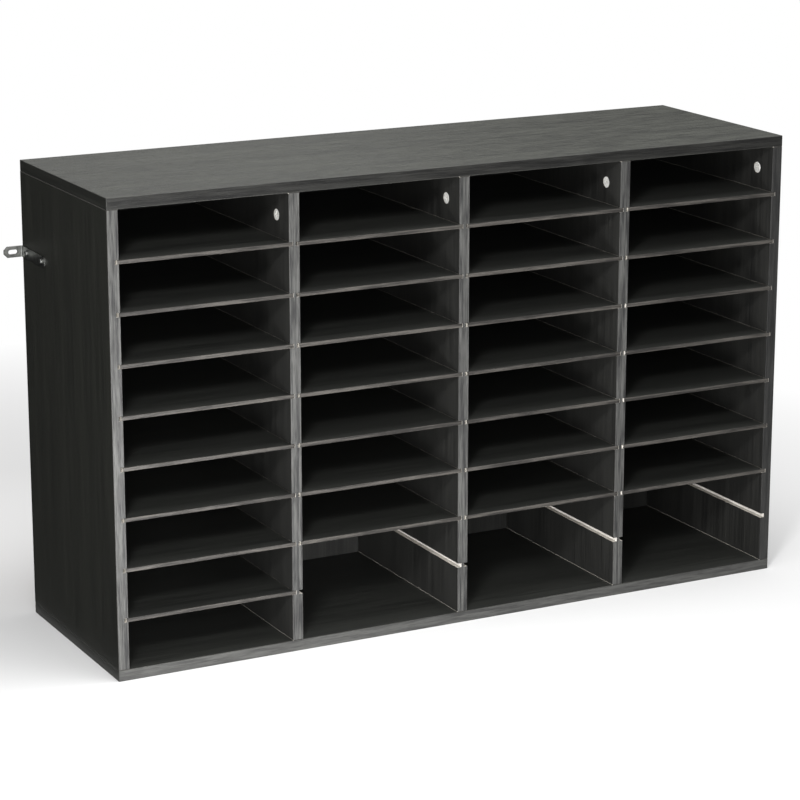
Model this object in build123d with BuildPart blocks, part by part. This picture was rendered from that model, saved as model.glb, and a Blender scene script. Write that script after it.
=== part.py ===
"""Literature organizer: a four-column cabinet of loose shelves in grooved uprights."""

import os

from build123d import *

# Cabinet, with the front at -Y, the floor at Z = 0 and the origin under its middle
overall_width = 1000
overall_depth = 305
overall_height = 628
board = 15
arris = 0.8
overrun = 2

# Columns, grooves and loose shelves, levels counted from the top
columns = 4
levels = 8
shelves_in_column = [8, 7, 7, 7]
end_compartment = 63.5
shelf_thickness = 5
shelf_arris = 0.6
groove_depth = 5.5
groove_headroom = 0.5
groove_lip = 0.5
shelf_seat_gap = 0.1
shelf_back_gap = 1

# The loose shelves lie nearer the right-hand grooves
shelf_left_gap = 3
shelf_right_gap = 0.6

# Back boards and their nails
back_thickness = 3
back_inset = 2
back_edge_gap = 0.4
rebate_width = 8
nail_radius = 0.8
nail_length = 20
nail_tip = 2
nail_head_radius = 2.2
nail_head_thickness = 0.8
nail_hole_clearance = 0.05
nail_spacing = 150
nail_corner_inset = 24

# Rows of fittings, in from the front and back planes
row_inset = 37

# Cam locks in the uprights
cam_radius = 7.5
cam_setback = 34
cam_backing = 2.5
cam_clearance = 0.1
cam_rim_chamfer = 0.4
cam_cross_length = 8.4
cam_cross_width = 1.8
cam_cross_depth = 2.2
cam_slot_start = 55
cam_slot_sweep = 215

# Cam bolts from the top panel down into the cams
bolt_thread_radius = 3
bolt_backing = 4
bolt_tip = 1
bolt_collar_radius = 3.7
bolt_collar_thickness = 1.6
bolt_shank_radius = 2.8
bolt_neck_radius = 2
bolt_neck_margin = 1.5
bolt_head_radius = 3.3
bolt_pocket_gap = 0.4
bolt_hole_gap = 0.7
bolt_thread_clearance = 0.05

# Wood dowels at the middle of the depth, top and bottom
dowel_radius = 4
dowel_length = 30
dowel_tip = 1
dowel_backing = 5
dowel_clearance = 0.1

# Countersunk screws up through the bottom panel
screw_length = 50
screw_head_radius = 4.8
screw_recess = 0.3
screw_shank_radius = 3.4
screw_core_radius = 2.5
screw_tip = 2
screw_socket_radius = 2.3
screw_socket_depth = 2.4
screw_clearance = 0.1
screw_tip_room = 1
screw_sink_angle = 90

# Wall brackets of bent strip, and their pan-head screws
strip_width = 15
strip_thickness = 2
bracket_drop = 122
leg_length = 84
tab_length = 27
bend_radius = 1
leg_end_radius = 6.5
tab_end_chamfer = 4.8
slot_length = 13
slot_width = 6
near_screw_inset = 19
far_screw_inset = 74
pan_head_radius = 4
pan_head_height = 2.4
pan_head_round = 1.4
pan_shank_radius = 1.9
pan_backing = 1
pan_tip = 1.5
pan_cross_length = 4.4
pan_cross_width = 1
pan_cross_depth = 1.2
pan_hole_gap = 0.4
pan_pilot_clearance = 0.05

# Planes that the boards share
front = -overall_depth / 2
rear = overall_depth / 2
side_inner = overall_width / 2 - board
top_underside = overall_height - board
inside_height = overall_height - 2 * board
rebate_depth = back_thickness + back_inset
back_face = rear - rebate_depth

# Uprights: two sides and the dividers between them, evenly spread
upright_pitch = (overall_width - board) / columns
upright_centres = [(i - columns / 2) * upright_pitch for i in range(columns + 1)]
upright_names = ["left_side_panel", "left_divider", "centre_divider", "right_divider", "right_side_panel"]
column_centres = [(i - (columns - 1) / 2) * upright_pitch for i in range(columns)]

# Groove levels, spread evenly between the top and bottom compartments
groove_height = shelf_thickness + groove_headroom
level_pitch = (inside_height - 2 * end_compartment - groove_height) / (levels - 1)
top_level = top_underside - end_compartment - groove_height / 2
level_heights = [top_level - i * level_pitch for i in range(levels)]
compartment_heights = [top_level + (0.5 - i) * level_pitch for i in range(levels + 1)]

# Fittings in each upright
fitting_rows = [front + row_inset, rear - row_inset]
cam_height = board - cam_backing
cam_level = top_underside - cam_setback
bolt_grip = board - bolt_backing
bolt_hole_radius = bolt_head_radius + bolt_hole_gap
pocket_radius = bolt_head_radius + bolt_pocket_gap
cam_slot_height = 2 * (bolt_neck_radius + bolt_pocket_gap)
dowel_grip = board - dowel_backing
bracket_height = overall_height - bracket_drop
bracket_screw_rows = [rear - near_screw_inset, rear - far_screw_inset]
pan_grip = board - groove_depth - pan_backing


def spread(start, end, spacing):
    """Even places from start to end, about one spacing apart."""
    gaps = max(1, round((end - start) / spacing))
    return [start + (end - start) * i / gaps for i in range(gaps + 1)]


# Nails as (x, z): along both long edges, and between the grooves on each upright
nail_columns = [side * (side_inner + rebate_width / 2) for side in (-1, 1)]
nail_columns += [x for x in upright_centres[1:-1] if abs(x) > board / 2]
nail_columns += [side * board / 4 for side in (-1, 1)]
nail_rows = [board - rebate_width / 2, top_underside + rebate_width / 2]
nail_run = side_inner + rebate_width - nail_corner_inset
nail_offsets = spread(nail_corner_inset, nail_run, nail_spacing)
nail_places = [(x, z) for x in nail_columns for z in compartment_heights[::2]]
nail_places += [(side * x, z) for side in (-1, 1) for x in nail_offsets for z in nail_rows]
nail_hole_radius = nail_radius + nail_hole_clearance
nail_grip = nail_length - back_thickness


def finish_piece(part, name):
    """Name a piece and write it."""
    part.label = name
    export_step(part, f"parts/{name}.step")


def make_upright(name, centre):
    """One upright board with its shelf grooves and the holes for its fittings."""
    inner = -1 if centre > 0 else 1
    is_side = name.endswith("side_panel")
    back = rear if is_side else back_face
    groove_faces = [centre + side * board / 2 for side in ((inner,) if is_side else (-1, 1))]
    cam_side = inner if is_side else -1
    cam_plane = Plane(
        origin=(centre + cam_side * board / 2, 0, cam_level), x_dir=(0, cam_side, 0), z_dir=(cam_side, 0, 0)
    )
    upright_nails = [(x, z) for x, z in nail_places if board < z < top_underside]
    nails_here = [(x, z) for x, z in upright_nails if abs(x - centre) < board / 2]
    with BuildPart() as upright:
        with BuildSketch(Plane.XY.offset(board)):
            with Locations((centre, (front + back) / 2)):
                Rectangle(board, back - front)
        extrude(amount=inside_height)
        fillet(upright.edges() - upright.faces().sort_by(Axis.Y)[-1].edges(), radius=arris)
        # Shelf grooves with eased lips, open at the front and the back
        with BuildSketch(Plane.XZ.offset(overrun - front)):
            with Locations(*[(x, z) for x in groove_faces for z in level_heights]):
                Rectangle(2 * groove_depth, groove_height)
                with Locations((0, -groove_height / 2), (0, groove_height / 2)):
                    RegularPolygon(radius=groove_lip, side_count=4)
        extrude(amount=front - back - 2 * overrun, mode=Mode.SUBTRACT)
        # Cam bores in the face, and bolt holes down to them from the top edge
        with BuildSketch(cam_plane):
            with Locations(*[(cam_side * y, 0) for y in fitting_rows]):
                Circle(cam_radius + cam_clearance)
        extrude(amount=-cam_height - cam_clearance, mode=Mode.SUBTRACT)
        with BuildSketch(Plane.XY.offset(top_underside)):
            with Locations(*[(centre, y) for y in fitting_rows]):
                Circle(bolt_hole_radius)
        extrude(amount=-cam_setback, mode=Mode.SUBTRACT)
        # Dowel holes in both ends
        with BuildSketch(Plane.XY.offset(top_underside)):
            with Locations((centre, 0)):
                Circle(dowel_radius + dowel_clearance)
        extrude(amount=dowel_grip - dowel_length - dowel_clearance, mode=Mode.SUBTRACT)
        with BuildSketch(Plane.XY.offset(board)):
            with Locations((centre, 0)):
                Circle(dowel_radius + dowel_clearance)
        extrude(amount=dowel_length - dowel_grip + dowel_clearance, mode=Mode.SUBTRACT)
        # Pilot holes for the bottom screws and the back board's nails
        with BuildSketch(Plane.XY.offset(board)):
            with Locations(*[(centre, y) for y in fitting_rows]):
                Circle(screw_core_radius + screw_clearance)
        extrude(amount=screw_length - board + screw_tip_room, mode=Mode.SUBTRACT)
        with BuildSketch(Plane.XZ.offset(-back_face)):
            with Locations(*nails_here):
                Circle(nail_hole_radius)
        extrude(amount=nail_grip + nail_hole_clearance, mode=Mode.SUBTRACT)
        if is_side:
            # Rebate for the back board, and pilot holes for the bracket's screws
            with BuildSketch(Plane.XY.offset(board - overrun)):
                with Locations((centre + inner * board / 2, rear)):
                    Rectangle(2 * rebate_width, 2 * rebate_depth)
            extrude(amount=inside_height + 2 * overrun, mode=Mode.SUBTRACT)
            outer_plane = Plane(
                origin=(centre - inner * board / 2, 0, bracket_height),
                x_dir=(0, -inner, 0),
                z_dir=(-inner, 0, 0),
            )
            with BuildSketch(outer_plane):
                with Locations(*[(-inner * y, 0) for y in bracket_screw_rows]):
                    Circle(pan_shank_radius + pan_pilot_clearance)
            extrude(amount=-pan_grip - pan_pilot_clearance, mode=Mode.SUBTRACT)
    finish_piece(upright.part, name)


def make_shelf(name, centre, level_height):
    """One loose shelf, seated in the grooves of the two uprights beside it."""
    width = upright_pitch - board + 2 * groove_depth - shelf_left_gap - shelf_right_gap
    middle = centre + (shelf_left_gap - shelf_right_gap) / 2
    depth = back_face - shelf_back_gap - front
    underside = level_height - groove_height / 2 + shelf_seat_gap
    with BuildPart() as shelf:
        with BuildSketch(Plane.XY.offset(underside)):
            with Locations((middle, front)):
                Rectangle(width, depth, align=(Align.CENTER, Align.MIN))
        extrude(amount=shelf_thickness)
        fillet(shelf.faces().sort_by(Axis.Y)[0].edges().filter_by(Axis.X), radius=shelf_arris)
    finish_piece(shelf.part, name)


def make_back_board(name, side):
    """One half of the back, in the rebates of the boards around it."""
    width = side_inner + rebate_width - 2 * back_edge_gap
    height = inside_height + 2 * rebate_width - 2 * back_edge_gap
    nails_here = [place for place in nail_places if place[0] * side > 0]
    with BuildPart() as back_board:
        with BuildSketch(Plane.XZ.offset(-back_face)):
            with Locations((side * (width / 2 + back_edge_gap), overall_height / 2)):
                Rectangle(width, height)
            with Locations(*nails_here):
                Circle(nail_hole_radius, mode=Mode.SUBTRACT)
        extrude(amount=-back_thickness)
    finish_piece(back_board.part, name)


os.makedirs("parts", exist_ok=True)

# Top panel, with its rebate and the blind holes in its underside
with BuildPart() as top_panel:
    with BuildSketch(Plane.XY.offset(top_underside)):
        Rectangle(overall_width, overall_depth)
    extrude(amount=board)
    fillet(top_panel.edges(), radius=arris)
    with BuildSketch(Plane.XY.offset(top_underside)):
        with Locations((0, rear)):
            Rectangle(2 * (side_inner + rebate_width), 2 * rebate_depth)
    extrude(amount=rebate_width, mode=Mode.SUBTRACT)
    with BuildSketch(Plane.XY.offset(top_underside)):
        with Locations(*[(x, y) for x in upright_centres for y in fitting_rows]):
            Circle(bolt_thread_radius + bolt_thread_clearance)
    extrude(amount=bolt_grip + bolt_thread_clearance, mode=Mode.SUBTRACT)
    with BuildSketch(Plane.XY.offset(top_underside)):
        with Locations(*[(x, 0) for x in upright_centres]):
            Circle(dowel_radius + dowel_clearance)
    extrude(amount=dowel_grip + dowel_clearance, mode=Mode.SUBTRACT)
    with BuildSketch(Plane.XZ.offset(-back_face)):
        with Locations(*[place for place in nail_places if place[1] > top_underside]):
            Circle(nail_hole_radius)
    extrude(amount=nail_grip + nail_hole_clearance, mode=Mode.SUBTRACT)
finish_piece(top_panel.part, "top_panel")

# Bottom panel, with its rebate, dowel holes and countersunk screw holes
with BuildPart() as bottom_panel:
    with BuildSketch():
        Rectangle(overall_width, overall_depth)
    extrude(amount=board)
    fillet(bottom_panel.edges(), radius=arris)
    with BuildSketch(Plane.XY.offset(board)):
        with Locations((0, rear)):
            Rectangle(2 * (side_inner + rebate_width), 2 * rebate_depth)
    extrude(amount=-rebate_width, mode=Mode.SUBTRACT)
    with BuildSketch(Plane.XY.offset(board)):
        with Locations(*[(x, 0) for x in upright_centres]):
            Circle(dowel_radius + dowel_clearance)
    extrude(amount=-dowel_grip - dowel_clearance, mode=Mode.SUBTRACT)
    with Locations(*[Plane((x, y, 0), z_dir=(0, 0, -1)) for x in upright_centres for y in fitting_rows]):
        CounterSinkHole(
            radius=screw_shank_radius + screw_clearance,
            counter_sink_radius=screw_head_radius + screw_recess + screw_clearance,
            counter_sink_angle=screw_sink_angle,
        )
    with BuildSketch(Plane.XZ.offset(-back_face)):
        with Locations(*[place for place in nail_places if place[1] < board]):
            Circle(nail_hole_radius)
    extrude(amount=nail_grip + nail_hole_clearance, mode=Mode.SUBTRACT)
finish_piece(bottom_panel.part, "bottom_panel")

# Side panels and dividers
for upright_name, upright_centre in zip(upright_names, upright_centres):
    make_upright(upright_name, upright_centre)

# Loose shelves, numbered from the left and from the top
for column, column_centre in enumerate(column_centres):
    for level in range(shelves_in_column[column]):
        make_shelf(f"column_{column + 1}_shelf_{level + 1}", column_centre, level_heights[level])

# Back boards, meeting behind the centre divider
make_back_board("back_board_left", -1)
make_back_board("back_board_right", 1)

# One cam lock, outer face at Z = 0, its bolt coming in along +Y
with BuildPart() as cam_lock:
    with BuildSketch():
        Circle(cam_radius)
    extrude(amount=-cam_height)
    chamfer(cam_lock.faces().sort_by(Axis.Z)[-1].edges(), length=cam_rim_chamfer)
    with BuildSketch():
        Rectangle(cam_cross_length, cam_cross_width)
        Rectangle(cam_cross_width, cam_cross_length)
    extrude(amount=-cam_cross_depth, mode=Mode.SUBTRACT)
    # Pocket for the bolt's head, the way in for it, and the rim slot for its neck
    with BuildSketch(Plane.XY.offset(-board / 2 - pocket_radius)):
        Circle(pocket_radius)
        with Locations((0, -cam_radius / 2)):
            Rectangle(2 * pocket_radius, cam_radius + overrun)
    extrude(amount=2 * pocket_radius, mode=Mode.SUBTRACT)
    with BuildSketch(Plane.XY.offset(-board / 2 - cam_slot_height / 2)):
        with BuildLine():
            slot_rim = CenterArc((0, 0), cam_radius + overrun, cam_slot_start, cam_slot_sweep)
            Polyline(slot_rim @ 1, (0, 0), slot_rim @ 0)
        make_face()
    extrude(amount=cam_slot_height, mode=Mode.SUBTRACT)

# Cam locks, on the inner faces of the sides and the left faces of the dividers
cam_sides = [1] + [-1] * columns
cam_places = [
    Plane(origin=(x + side * board / 2, y, cam_level), x_dir=(0, side, 0), z_dir=(side, 0, 0))
    for x, side in zip(upright_centres, cam_sides)
    for y in fitting_rows
]
with BuildPart() as cam_locks:
    with Locations(*cam_places):
        add(cam_lock.part)
finish_piece(cam_locks.part, "cam_locks")

# One cam bolt, with the top panel's underside at Z = 0
with BuildPart() as cam_bolt:
    with BuildSketch(Plane.XZ):
        with BuildLine():
            Polyline(
                (0, bolt_grip),
                (bolt_thread_radius - bolt_tip, bolt_grip),
                (bolt_thread_radius, bolt_grip - bolt_tip),
                (bolt_thread_radius, 0),
                (bolt_collar_radius, 0),
                (bolt_collar_radius, -bolt_collar_thickness),
                (bolt_shank_radius, -bolt_collar_thickness),
                (bolt_shank_radius, cam_radius + bolt_neck_margin - cam_setback),
                (bolt_neck_radius, cam_radius - cam_setback),
                (bolt_neck_radius, -cam_setback),
                (0, -cam_setback),
                close=True,
            )
        make_face()
    revolve(axis=Axis.Z)
    with Locations((0, 0, -cam_setback)):
        Sphere(bolt_head_radius)

with BuildPart() as cam_bolts:
    with Locations(*[(x, y, top_underside) for x in upright_centres for y in fitting_rows]):
        add(cam_bolt.part)
finish_piece(cam_bolts.part, "cam_bolts")

# One dowel, standing on Z = 0
with BuildPart() as wood_dowel:
    with BuildSketch():
        Circle(dowel_radius)
    extrude(amount=dowel_length)
    chamfer(wood_dowel.faces().filter_by(Axis.Z).edges(), length=dowel_tip)

dowel_bottoms = [top_underside + dowel_grip - dowel_length, board - dowel_grip]
with BuildPart() as wood_dowels:
    with Locations(*[(x, 0, z) for x in upright_centres for z in dowel_bottoms]):
        add(wood_dowel.part)
finish_piece(wood_dowels.part, "wood_dowels")

# One bottom screw, with the bottom panel's lower face at Z = 0
with BuildPart() as bottom_screw:
    with BuildSketch(Plane.XZ):
        with BuildLine():
            Polyline(
                (0, screw_recess),
                (screw_head_radius, screw_recess),
                (screw_shank_radius, screw_recess + screw_head_radius - screw_shank_radius),
                (screw_shank_radius, board),
                (screw_core_radius, board),
                (screw_core_radius, screw_length - screw_tip),
                (0, screw_length),
                close=True,
            )
        make_face()
    revolve(axis=Axis.Z)
    with BuildSketch(Plane.XY.offset(screw_recess)):
        RegularPolygon(radius=screw_socket_radius, side_count=6)
    extrude(amount=screw_socket_depth, mode=Mode.SUBTRACT)

with BuildPart() as bottom_screws:
    with Locations(*[(x, y, 0) for x in upright_centres for y in fitting_rows]):
        add(bottom_screw.part)
finish_piece(bottom_screws.part, "bottom_screws")

# One nail, its head standing on Z = 0
with BuildPart() as back_nail:
    with BuildSketch(Plane.XZ):
        with BuildLine():
            Polyline(
                (0, nail_head_thickness),
                (nail_head_radius, nail_head_thickness),
                (nail_head_radius, 0),
                (nail_radius, 0),
                (nail_radius, nail_tip - nail_length),
                (0, -nail_length),
                close=True,
            )
        make_face()
    revolve(axis=Axis.Z)

with BuildPart() as back_board_nails:
    with Locations(*[Plane((x, back_face + back_thickness, z), z_dir=(0, 1, 0)) for x, z in nail_places]):
        add(back_nail.part)
finish_piece(back_board_nails.part, "back_board_nails")

# Left wall bracket: a leg along the side panel and a slotted tab that stands out at the back
side_face = -overall_width / 2
tab_tip = side_face - tab_length
tab_flat_middle = side_face - (strip_thickness + tab_length) / 2
with BuildPart() as left_wall_bracket:
    with BuildSketch(Plane.XY.offset(bracket_height - strip_width / 2)) as strip_plan:
        with Locations((side_face, rear)):
            Rectangle(strip_thickness, leg_length, align=(Align.MAX, Align.MAX))
            Rectangle(tab_length, strip_thickness, align=(Align.MAX, Align.MAX))
        outer_bend = strip_plan.vertices().sort_by_distance((side_face, rear))[0]
        fillet(outer_bend, radius=bend_radius + strip_thickness)
    extrude(amount=strip_width)
    inner_bend = left_wall_bracket.edges().filter_by(Axis.Z).sort_by_distance(
        (side_face - strip_thickness, rear - strip_thickness, bracket_height)
    )[0]
    fillet(inner_bend, radius=bend_radius)
    fillet(left_wall_bracket.faces().sort_by(Axis.Y)[0].edges().filter_by(Axis.X), radius=leg_end_radius)
    chamfer(left_wall_bracket.faces().sort_by(Axis.X)[0].edges().filter_by(Axis.Y), length=tab_end_chamfer)
    with BuildSketch(Plane.XZ.offset(-rear)):
        with Locations((tab_flat_middle, bracket_height)):
            SlotOverall(slot_length, slot_width)
    extrude(amount=strip_thickness, mode=Mode.SUBTRACT)
    with BuildSketch(Plane.YZ.offset(side_face)):
        with Locations(*[(y, bracket_height) for y in bracket_screw_rows]):
            Circle(pan_shank_radius + pan_hole_gap)
    extrude(amount=-strip_thickness, mode=Mode.SUBTRACT)
finish_piece(left_wall_bracket.part, "left_wall_bracket")

with BuildPart() as right_wall_bracket:
    mirror(left_wall_bracket.part, about=Plane.YZ)
finish_piece(right_wall_bracket.part, "right_wall_bracket")

# One bracket screw, its head standing on Z = 0
with BuildPart() as bracket_screw:
    with BuildSketch():
        Circle(pan_head_radius)
    extrude(amount=pan_head_height)
    fillet(bracket_screw.faces().sort_by(Axis.Z)[-1].edges(), radius=pan_head_round)
    with BuildSketch():
        Circle(pan_shank_radius)
    extrude(amount=-strip_thickness - pan_grip)
    chamfer(bracket_screw.faces().sort_by(Axis.Z)[0].edges(), length=pan_tip)
    with BuildSketch(Plane.XY.offset(pan_head_height)):
        Rectangle(pan_cross_length, pan_cross_width)
        Rectangle(pan_cross_width, pan_cross_length)
    extrude(amount=-pan_cross_depth, mode=Mode.SUBTRACT)

bracket_screw_places = [
    Plane((side * (overall_width / 2 + strip_thickness), y, bracket_height), z_dir=(side, 0, 0))
    for side in (-1, 1)
    for y in bracket_screw_rows
]
with BuildPart() as bracket_screws:
    with Locations(*bracket_screw_places):
        add(bracket_screw.part)
finish_piece(bracket_screws.part, "bracket_screws")
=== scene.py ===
"""Looks of the literature organizer: its finishes, the floor, the studio light and the camera."""

import math

import bpy
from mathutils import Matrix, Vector


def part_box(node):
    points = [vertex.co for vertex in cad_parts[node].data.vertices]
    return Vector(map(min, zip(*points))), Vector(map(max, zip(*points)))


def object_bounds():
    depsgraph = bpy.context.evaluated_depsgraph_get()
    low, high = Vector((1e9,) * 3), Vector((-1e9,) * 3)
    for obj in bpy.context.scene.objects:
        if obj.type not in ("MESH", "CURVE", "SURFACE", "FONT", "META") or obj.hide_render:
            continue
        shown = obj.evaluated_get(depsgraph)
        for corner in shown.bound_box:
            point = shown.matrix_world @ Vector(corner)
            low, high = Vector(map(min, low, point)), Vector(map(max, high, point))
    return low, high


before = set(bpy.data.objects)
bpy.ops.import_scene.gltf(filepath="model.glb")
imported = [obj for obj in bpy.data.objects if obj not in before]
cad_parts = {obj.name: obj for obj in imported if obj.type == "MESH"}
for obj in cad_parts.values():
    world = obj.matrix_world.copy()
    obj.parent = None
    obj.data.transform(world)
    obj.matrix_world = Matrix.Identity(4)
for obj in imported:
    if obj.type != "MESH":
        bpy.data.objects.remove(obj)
cad_low, cad_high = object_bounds()

# Nodes of the part, by kind
uprights = ["left_side_panel", "left_divider", "centre_divider", "right_divider", "right_side_panel"]
panels = ["top_panel", "bottom_panel"]
backs = ["back_board_left", "back_board_right"]
brackets = ["left_wall_bracket", "right_wall_bracket"]
shelves = sorted(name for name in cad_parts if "_shelf_" in name)

# Shelves whose cut side edges take the darkest painted shade, and those whose cut edges are palest, in the plain
# core
deep_shade_shelves = ["column_2_shelf_1", "column_2_shelf_2", "column_3_shelf_1", "column_3_shelf_2"]
pale_shelves = [f"column_4_shelf_{level}" for level in range(3, 8)]

# The way along X that the outer face of an upright looks
outer_sides = {"left_side_panel": -1, "right_side_panel": 1}

# A face within this distance of a board's outside, in metres, belongs to the outside
skin = 0.001
# The grooves below this height, in metres, hold no shelf, apart from the first column's
# Cut core above this height is darkened as painted shade
empty_groove_top = 0.115
# Share of a face's normal along an axis, for a face that leans that way, and for one that looks mostly, nearly or
# squarely that way
leaning, mostly, nearly, squarely = 0.3, 0.7, 0.9, 0.999

# Directions of the wood grain
ALONG_X, ALONG_Y, ALONG_Z = 0, 1, 2

# Colours in linear light: white, the faintly warm reflection of the top, and the pores in the print
white = (1.0, 1.0, 1.0, 1.0)
warm = (0.98, 1.0, 0.92, 1.0)
pore_colour = (0.006, 0.006, 0.006, 1.0)

# Dark and light tone of each finish, as a picture shows them, 0 to 255
tones = {
    "laminate": ((24, 25, 23), (43, 44, 41)),
    "top_laminate": ((10, 11, 8), (58, 59, 54)),
    # Darker copies of the laminate, as painted shade: on the side panels' outer faces and on the panels' ends
    "outside_shade_laminate": ((15, 16, 12), (29, 30, 25)),
    "end_shade_laminate": ((14, 15, 12), (30, 31, 27)),
    "inner_laminate": ((23, 23, 22), (44, 44, 42)),
    "upright_band": ((42, 42, 42), (86, 86, 84)),
    # A darker copy of the edge banding for the right side panel's front edge and arrises: painted shade
    "right_shade_band": ((28, 28, 28), (48, 48, 47)),
    # A darker copy of the edge banding for the top panel's front edge: painted shade
    "top_shade_band": ((13, 13, 12), (35, 35, 33)),
    "bottom_band": ((55, 55, 54), (77, 77, 75)),
    "shelf_band": ((40, 38, 36), (76, 73, 69)),
    "worn_arris": ((38, 38, 37), (66, 65, 63)),
    "rolled_arris": ((30, 30, 28), (56, 56, 53)),
    "raw_core": ((216, 211, 204), (242, 238, 232)),
    # Darker copies of the cut core, as painted shade: in the grooves that hold shelves and on the shelves' cut
    # side edges
    "groove_shade_core": ((172, 168, 161), (195, 191, 183)),
    # The darkest copy of the core, painted shade on the cut side edges of some shelves
    "deep_shade_core": ((112, 110, 105), (134, 131, 126)),
    "eased_lip": ((150, 145, 136), (196, 190, 180)),
    "seam": ((36, 35, 33), (58, 56, 53)),
    "bare_hardboard": ((88, 62, 42), (138, 103, 72)),
    "cast_zinc": ((206, 205, 201), (236, 235, 231)),
    "plated_steel": ((150, 150, 146), (196, 196, 192)),
    "bracket_zinc": ((100, 101, 99), (132, 133, 130)),
    "beech": ((150, 108, 68), (204, 165, 118)),
}

# Sizes of the grain's features in metres, as (along the grain, across it)
figure_size = (0.55, 0.035)
streak_size = (0.16, 0.0034)
pore_size = (0.022, 0.0007)
fleck_size = (0.006, 0.0008)

# Parts of a pattern's range, from 0 to 1, over which it turns from dark to light
soft_grain = (0.30, 0.68)
crisp_grain = (0.38, 0.60)
core_contrast = (0.45, 1.0)
hardboard_contrast = (0.35, 0.95)
fleck_contrast = (0.35, 0.65)
mottle_contrast = (0.3, 0.7)
pore_edge = (0.36, 0.46)
# How far a pore darkens the print
pore_depth = 0.45
# Weight of a pattern that is added to another: pores to streaks in the relief of grain, patches to fibres in the
# tone of the core, and on hardboard clouds to fibres in the tone and the screen's marks to fibres in the relief
pore_share, patch_share, cloud_share, screen_share = 0.5, 0.6, 0.3, 0.6

# Kinds of printed grain: size of the streaks, roughness from the smoothest streak to the roughest, and depth of
# the relief in metres; some also have their own contrast, share of the broad figure, refraction or tint
film_kind = {"streak": streak_size, "gloss": (0.48, 0.62), "relief": 0.00012}
worn_kind = {"streak": streak_size, "gloss": (0.4, 0.55), "relief": 0.0001}
rolled_kind = {"streak": streak_size, "gloss": (0.5, 0.65), "relief": 0.0001}
band_kind = {
    "streak": (0.06, 0.0028),
    "gloss": (0.38, 0.5),
    "relief": 0.0002,
    "contrast": crisp_grain,
    "figure_share": 0.2,
    "index": 1.35,
}
top_kind = {
    "streak": (0.045, 0.0034),
    "gloss": (0.38, 0.72),
    "relief": 0.0004,
    "contrast": crisp_grain,
    "figure_share": 0.3,
    "tint": warm,
}

# Kinds of metal: size of the marks along X, Y and Z, roughness, and depth of the relief, sizes in metres
cast_kind = {"marks": (0.0006, 0.0006, 0.0006), "gloss": (0.5, 0.66), "relief": 0.00008, "metallic": 0.3}
steel_kind = {"marks": (0.0006, 0.0006, 0.0006), "gloss": (0.28, 0.42), "relief": 0.00004}
strip_kind = {"marks": (0.02, 0.02, 0.0006), "gloss": (0.26, 0.42), "relief": 0.00003}

# Sizes of other features in metres
core_fibre, core_patch = 0.0012, 0.02
hardboard_fibre, hardboard_cloud = 0.003, 0.09
mottle_size = 0.006
cloth_size = 0.02
# Marks of the press screen on hardboard, per metre, and how uneven they are
screen_scale, screen_randomness = 700.0, 0.15
# Depth of the relief on bare wood and on hardboard, in metres
bare_relief, hardboard_relief = 0.0002, 0.0003
# Roughness of the cut core, of hardboard and of the dowels' wood
core_roughness, hardboard_roughness, dowel_roughness = 0.92, 0.85, 0.7
# Refraction of wood and its films
wood_index = 1.45

# The floor is a round sheet, with its radius in metres
floor_radius = 30
floor_corners = 96
floor_colour = (0.78, 0.78, 0.78, 1.0)
# It keeps its shadow around this point, and turns plain white between these distances from it, in metres
shadow_middle = (-0.45, 0, 0)
shadow_reach = (0.85, 1.7)

# Dark and light grey of the cards' cloth, in linear light
cloth_greys = (0.003, 0.006)
# Dark cards as corners, in metres: two beside the left end, one by the right and one behind the top
flags = {
    "standing_flag": [(-6.0, 1.6, 0), (-0.45, 1.6, 0), (-0.45, 1.6, 4.0), (-6.0, 1.6, 4.0)],
    "floor_flag": [(-4.2, -0.3, 0.002), (-0.51, -0.3, 0.002), (-0.51, 1.6, 0.002), (-4.2, 1.6, 0.002)],
    "right_flag": [(0.6, -3.2, 0.002), (3.2, -3.2, 0.002), (3.2, -0.4, 0.002), (0.6, -0.4, 0.002)],
    "back_flag": [(1.75, 3.2, 0.2), (5.0, 3.2, 0.2), (5.0, 3.2, 2.4), (1.75, 3.2, 2.4)],
}

# Lamps as place, the point they are aimed at, width and height, all in metres, and power in watts: one overhead,
# two low ones by the left end that grade the front, a weak one by the camera and a small key at the upper left
lamps = {
    "overhead_lamp": ((0.35, -0.45, 2.5), (0, -0.1, 0.3), (1.4, 1.4), 45),
    "left_lamp": ((-1.25, -1.35, 0.42), (-0.35, -0.1, 0.28), (0.7, 0.7), 7.0),
    "low_lamp": ((-0.45, -0.85, 0.12), (-0.42, -0.15, 0.12), (0.6, 0.2), 7.0),
    "front_lamp": ((-1.5, -3.2, 1.0), (0, 0, 0.3), (0.8, 0.8), 20),
    "key_lamp": ((-1.66, -2.15, 1.85), (-0.1, -0.15, 0.4), (0.4, 0.4), 55),
}
# Strength of the world as it lights the object, where 1 is white
fill_strength = 0.32

# Camera: place and clipping distance in metres, angles in degrees, lens and sensor in millimetres
camera_place = (-1.739, -3.310, 1.272)
camera_yaw = 27.50
camera_pitch = 14.92
camera_lens = 126.26
camera_sensor = 36
camera_clip = 100


def srgb(red, green, blue):
    """A colour as a picture shows it, 0 to 255, in the shader's linear light."""

    def linear(level):
        share = level / 255
        return share / 12.92 if share <= 0.04045 else ((share + 0.055) / 1.055) ** 2.4

    return (linear(red), linear(green), linear(blue), 1.0)


def tone_pair(name):
    """The dark and the light colour of a finish."""
    return [srgb(*tone) for tone in tones[name]]


def even(size):
    """A feature of the same size along X, Y and Z."""
    return (size, size, size)


def grain_sizes(direction, size):
    """A feature's size along X, Y and Z, for grain that runs in that direction."""
    along, across = size
    return [along if axis == direction else across for axis in range(3)]


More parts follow.
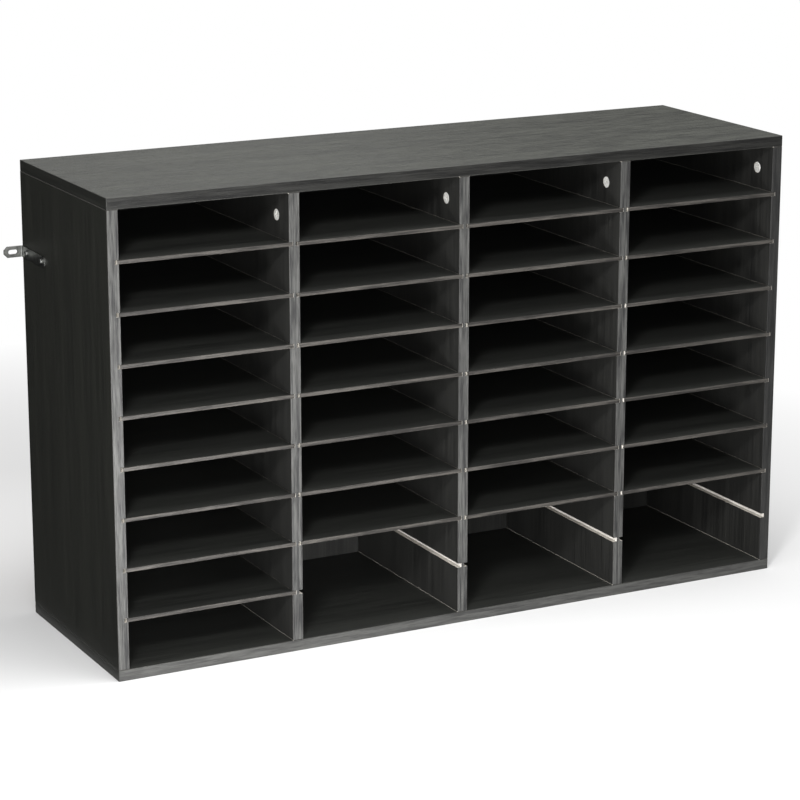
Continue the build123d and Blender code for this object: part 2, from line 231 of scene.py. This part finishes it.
class Nodes:
    """A node tree, put together node by node."""

    def __init__(self, tree):
        self.tree = tree

    def feed(self, socket, value):
        """Link an output to a socket, or set a plain value on it."""
        if isinstance(value, bpy.types.NodeSocket):
            self.tree.links.new(value, socket)
        else:
            socket.default_value = value

    def add(self, kind, inputs=None, **settings):
        """A new node with its settings and its inputs."""
        node = self.tree.nodes.new(kind)
        for name, value in settings.items():
            setattr(node, name, value)
        for key, value in (inputs or {}).items():
            self.feed(node.inputs[key], value)
        return node

    def operate(self, operation, *values):
        """The result of an operation on values."""
        return self.add("ShaderNodeMath", dict(enumerate(values)), operation=operation).outputs[0]

    def spread(self, value, low, high):
        """A value from 0 to 1 spread over another range."""
        return self.add("ShaderNodeMapRange", {"Value": value, "To Min": low, "To Max": high}).outputs[0]

    def seen(self):
        """1 for rays from the camera and those that mirrors or glass pass on, and 0 for all others."""
        path = self.add("ShaderNodeLightPath").outputs
        direct = self.operate("MAXIMUM", path["Is Camera Ray"], path["Is Glossy Ray"])
        return self.operate("MAXIMUM", direct, path["Is Transmission Ray"])


class Finish(Nodes):
    """One procedural material."""

    def __init__(self, name, **sockets):
        self.material = bpy.data.materials.new(name)
        self.material.use_nodes = True
        super().__init__(self.material.node_tree)
        self.shader = self.tree.nodes["Principled BSDF"]
        self.place = self.add("ShaderNodeTexCoord").outputs["Object"]
        for socket, value in sockets.items():
            self.shade(socket.replace("_", " "), value)

    def shade(self, socket, value):
        """Link or set one of the shader's sockets."""
        self.feed(self.shader.inputs[socket], value)

    def noise(self, sizes, detail=2.0, roughness=0.5, distortion=0.0):
        """Noise whose features have these sizes along X, Y and Z."""
        scale = [1 / size for size in sizes]
        spaced = self.add("ShaderNodeMapping", {"Vector": self.place, "Scale": scale})
        inputs = {
            "Vector": spaced.outputs["Vector"],
            "Scale": 1.0,
            "Detail": detail,
            "Roughness": roughness,
            "Distortion": distortion,
        }
        return self.add("ShaderNodeTexNoise", inputs).outputs[0]

    def ramp(self, value, places, colours):
        """Two colours, or greys, at two places along a value."""
        node = self.add("ShaderNodeValToRGB", {"Fac": value})
        for element, place, colour in zip(node.color_ramp.elements, places, colours):
            element.position = place
            element.color = colour if isinstance(colour, tuple) else (colour, colour, colour, 1.0)
        return node.outputs["Color"]

    def sum(self, first, second, first_share=1.0):
        """first times its share, plus second."""
        return self.operate("MULTIPLY_ADD", first, first_share, second)

    def mix(self, amount, first, second):
        """A mix of two colours."""
        inputs = {"Factor": amount, "A": first, "B": second}
        node = self.add("ShaderNodeMix", data_type="RGBA")
        for socket in node.inputs:
            if socket.name in inputs and socket.type in ("RGBA", "VALUE") and socket.enabled:
                self.feed(socket, inputs[socket.name])
        return next(out for out in node.outputs if out.enabled)

    def bump(self, height, distance):
        """Relief in the shader's normal, distance in metres."""
        inputs = {"Height": height, "Distance": distance, "Strength": 1.0}
        self.shade("Normal", self.add("ShaderNodeBump", inputs).outputs["Normal"])


def wood_grain(
    name, direction, streak, gloss, relief, contrast=soft_grain, figure_share=0.5, index=wood_index, tint=white
):
    """Printed black wood grain under a satin film, with fine embossed pores."""
    finish = Finish(name, IOR=index, Specular_Tint=tint)
    figure = finish.noise(grain_sizes(direction, figure_size), detail=3.0, distortion=0.4)
    streaks = finish.noise(grain_sizes(direction, streak), detail=4.0, roughness=0.6)
    pores = finish.noise(grain_sizes(direction, pore_size))
    pore_lines = finish.ramp(pores, pore_edge, (0.0, 1.0))
    # Noise is 0.5 on average, so half the share comes off again
    tone = finish.sum(figure, finish.sum(streaks, -figure_share / 2), figure_share)
    base = finish.ramp(tone, contrast, tone_pair(name))
    finish.shade("Base Color", finish.mix(finish.spread(pore_lines, pore_depth, 0.0), base, pore_colour))
    finish.shade("Roughness", finish.spread(streaks, *gloss))
    finish.bump(finish.sum(pore_lines, streaks, pore_share), relief)
    return finish.material


def raw_core(name):
    """Bare fibreboard where a cut shows the core."""
    finish = Finish(name, IOR=wood_index, Roughness=core_roughness)
    fibres = finish.noise(even(core_fibre), detail=3.0)
    patches = finish.noise(even(core_patch))
    tone = finish.sum(patches, fibres, patch_share)
    finish.shade("Base Color", finish.ramp(tone, core_contrast, tone_pair(name)))
    finish.bump(fibres, bare_relief)
    return finish.material


def hardboard(name):
    """Bare brown side of the back boards, with its fine screen mark."""
    finish = Finish(name, IOR=wood_index, Roughness=hardboard_roughness)
    fibres = finish.noise(even(hardboard_fibre), detail=4.0, roughness=0.65)
    clouds = finish.noise(even(hardboard_cloud))
    tone = finish.sum(clouds, fibres, cloud_share)
    finish.shade("Base Color", finish.ramp(tone, hardboard_contrast, tone_pair(name)))
    inputs = {"Vector": finish.place, "Scale": screen_scale, "Randomness": screen_randomness}
    screen = finish.add("ShaderNodeTexVoronoi", inputs).outputs["Distance"]
    finish.bump(finish.sum(screen, fibres, screen_share), hardboard_relief)
    return finish.material


def metal(name, marks, gloss, relief, metallic=1.0):
    """Plated or cast metal, mottled, with fine marks."""
    finish = Finish(name, Metallic=metallic)
    mottle = finish.noise(even(mottle_size), detail=3.0)
    scores = finish.noise(marks, detail=3.0)
    finish.shade("Base Color", finish.ramp(mottle, mottle_contrast, tone_pair(name)))
    finish.shade("Roughness", finish.spread(scores, *gloss))
    finish.bump(scores, relief)
    return finish.material


def dowel_wood(name):
    """Plain beech with its short flecks."""
    finish = Finish(name, IOR=wood_index, Roughness=dowel_roughness)
    flecks = finish.noise(grain_sizes(ALONG_Z, fleck_size))
    finish.shade("Base Color", finish.ramp(flecks, fleck_contrast, tone_pair(name)))
    finish.bump(flecks, bare_relief)
    return finish.material


def dress(name, materials, role):
    """Give each face of a node the material that role names for its middle and its normal."""
    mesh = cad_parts[name].data
    mesh.materials.clear()
    order = list(materials)
    for key in order:
        mesh.materials.append(materials[key])
    for face in mesh.polygons:
        face.material_index = order.index(role(face.center, face.normal))


def board_role(name, thin):
    """Roles on a board: its broad faces, its edges, its rounded arrises and the core where it is cut."""
    low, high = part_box(name)

    def role(middle, normal):
        if all(low[axis] + skin < middle[axis] < high[axis] - skin for axis in range(3)):
            return "core"
        steepest = max(range(3), key=lambda axis: abs(normal[axis]))
        if abs(normal[steepest]) < squarely:
            return "arris"
        if steepest == thin:
            return "face"
        return "end" if steepest == ALONG_X else "edge"

    return role


def upright_role(name):
    """Roles on an upright: a board's, its outer face, cut ends, eased groove lips and grooves in painted shade.
    """
    low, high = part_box(name)
    plain = board_role(name, ALONG_X)
    outer_side = outer_sides.get(name, 0)

    def role(middle, normal):
        outward = normal.x * outer_side > leaning
        if middle.z < low.z + skin or middle.z > high.z - skin:
            return "lip" if abs(normal.x) > leaning and not outward else "seam"
        if leaning < abs(normal.z) < nearly:
            return "lip"
        kind = plain(middle, normal)
        # Cut core in the grooves that hold shelves, and the grooves' upper and lower walls, is darkened: painted
        # shade
        if kind == "core" and (middle.z > empty_groove_top or abs(normal.z) > nearly):
            return "groove_shade"
        return "outer" if kind == "face" and outward else kind

    return role


def shelf_role(middle, normal):
    """Roles on a shelf: a banded front edge, and bare core on the other three edges."""
    if normal.y < -leaning:
        return "edge"
    return "face" if abs(normal.z) > mostly else "core"


def back_role(middle, normal):
    """Roles on a back board: black in front, bare behind and on the edges."""
    return "face" if normal.y < -mostly else "core"


def dress_boards():
    """Laminate on the boards' faces, banding on front edges, bare core where cut; darker copies are painted
    shade.
    """
    film = wood_grain("laminate", ALONG_X, **film_kind)
    top_film = wood_grain("top_laminate", ALONG_X, **top_kind)
    # Darker laminate on the side panels' outer faces and on the panels' ends is painted shade
    outside_shade_film = wood_grain("outside_shade_laminate", ALONG_Z, **film_kind)
    end_shade_film = wood_grain("end_shade_laminate", ALONG_Y, **film_kind)
    inner_film = wood_grain("inner_laminate", ALONG_Z, **film_kind)
    upright_band = wood_grain("upright_band", ALONG_Z, **band_kind)
    right_shade_band = wood_grain("right_shade_band", ALONG_Z, **band_kind)
    top_shade_band = wood_grain("top_shade_band", ALONG_X, **band_kind)
    bottom_band = wood_grain("bottom_band", ALONG_X, **band_kind)
    shelf_band = wood_grain("shelf_band", ALONG_X, **band_kind)
    worn = wood_grain("worn_arris", ALONG_Z, **worn_kind)
    rolled = wood_grain("rolled_arris", ALONG_X, **rolled_kind)
    core = raw_core("raw_core")
    groove_shade = raw_core("groove_shade_core")
    deep_shade = raw_core("deep_shade_core")
    lip = raw_core("eased_lip")
    seam = raw_core("seam")
    bare = hardboard("bare_hardboard")
    for name in uprights:
        is_right = name == "right_side_panel"
        parts = {
            "face": inner_film,
            "outer": outside_shade_film,
            # The right side panel's front edge and arrises take the darker banding: painted shade
            "edge": right_shade_band if is_right else upright_band,
            "arris": right_shade_band if is_right else worn,
            "seam": seam,
            "lip": lip,
            "groove_shade": groove_shade,
            "core": core,
        }
        dress(name, parts, upright_role(name))
    # The top panel's front edge takes the darker banding: painted shade
    for name, face, edge in zip(panels, (top_film, film), (top_shade_band, bottom_band)):
        parts = {"face": face, "edge": edge, "end": end_shade_film, "arris": rolled, "core": core}
        dress(name, parts, board_role(name, ALONG_Z))
    for name in shelves:
        # The shelves' cut side edges are darkened as painted shade, most on the listed shelves; the palest keep
        # the plain core
        side = deep_shade if name in deep_shade_shelves else core if name in pale_shelves else groove_shade
        dress(name, {"face": film, "edge": shelf_band, "core": side}, shelf_role)
    for name in backs:
        dress(name, {"face": inner_film, "core": bare}, back_role)


def dress_fittings():
    """Cast, plated and turned finishes on the small hardware."""
    steel = metal("plated_steel", **steel_kind)
    strip = metal("bracket_zinc", **strip_kind)
    finishes = {
        "cam_locks": metal("cast_zinc", **cast_kind),
        "cam_bolts": steel,
        "bottom_screws": steel,
        "back_board_nails": steel,
        "bracket_screws": strip,
        "wood_dowels": dowel_wood("beech"),
    }
    finishes.update({name: strip for name in brackets})
    for name, finish in finishes.items():
        dress(name, {"all": finish}, lambda middle, normal: "all")


def make_floor():
    """A pale floor that keeps the shadow, and to the eye turns plain white away from the object."""
    bpy.ops.mesh.primitive_circle_add(
        vertices=floor_corners, radius=floor_radius, fill_type="NGON", location=(0, 0, cad_low.z)
    )
    floor = bpy.context.object
    floor.name = "floor"
    finish = Finish("floor_paper")
    paper = finish.add("ShaderNodeBsdfDiffuse", {"Color": floor_colour}).outputs[0]
    plain = finish.add("ShaderNodeEmission", {"Strength": 1.0}).outputs[0]
    inputs = {0: finish.place, 1: shadow_middle}
    reach = finish.add("ShaderNodeVectorMath", inputs, operation="DISTANCE").outputs["Value"]
    inputs = {"Value": reach, "From Min": shadow_reach[0], "From Max": shadow_reach[1]}
    fade = finish.add("ShaderNodeMapRange", inputs).outputs[0]
    shown = finish.operate("MULTIPLY", fade, finish.seen())
    surface = finish.add("ShaderNodeMixShader", {0: shown, 1: paper, 2: plain}).outputs[0]
    finish.feed(finish.tree.nodes["Material Output"].inputs["Surface"], surface)
    floor.data.materials.append(finish.material)


def make_flags():
    """Dark cards, seen only in reflections, that keep the left side and the right end of the top dark."""
    finish = Finish("flag_cloth", Roughness=1.0)
    cloth = finish.noise(even(cloth_size))
    finish.shade("Base Color", finish.ramp(cloth, mottle_contrast, cloth_greys))
    for name, corners in flags.items():
        mesh = bpy.data.meshes.new(name)
        mesh.from_pydata(corners, [], [(0, 1, 2, 3)])
        mesh.materials.append(finish.material)
        card = bpy.data.objects.new(name, mesh)
        bpy.context.scene.collection.objects.link(card)
        card.visible_camera = False
        card.visible_diffuse = False
        card.visible_transmission = False
        card.visible_shadow = False


def make_world():
    """White to the eye and in reflections, a softer fill for everything else."""
    world = bpy.data.worlds.new("studio")
    bpy.context.scene.world = world
    world.use_nodes = True
    nodes = Nodes(world.node_tree)
    background = world.node_tree.nodes["Background"]
    nodes.feed(background.inputs["Color"], white)
    nodes.feed(background.inputs["Strength"], nodes.spread(nodes.seen(), fill_strength, 1.0))


def make_lamp(name, place, target, size, power):
    """A soft rectangular lamp aimed at a point."""
    lamp = bpy.data.lights.new(name, "AREA")
    lamp.shape = "RECTANGLE"
    lamp.size, lamp.size_y = size
    lamp.energy = power
    holder = bpy.data.objects.new(name, lamp)
    bpy.context.scene.collection.objects.link(holder)
    holder.location = place
    holder.rotation_euler = (Vector(target) - Vector(place)).to_track_quat("-Z", "Y").to_euler()
    holder.visible_camera = False


def make_camera():
    """The camera, at the photograph's viewing angle."""
    camera = bpy.data.objects.new("camera", bpy.data.cameras.new("camera"))
    bpy.context.scene.collection.objects.link(camera)
    camera.location = camera_place
    camera.rotation_euler = (math.radians(90 - camera_pitch), 0, math.radians(-camera_yaw))
    camera.data.lens = camera_lens
    camera.data.sensor_width = camera_sensor
    camera.data.clip_end = camera_clip
    bpy.context.scene.camera = camera


dress_boards()
dress_fittings()
make_floor()
make_flags()
make_world()
for name, settings in lamps.items():
    make_lamp(name, *settings)
make_camera()
bpy.context.scene.view_settings.view_transform = "Standard"
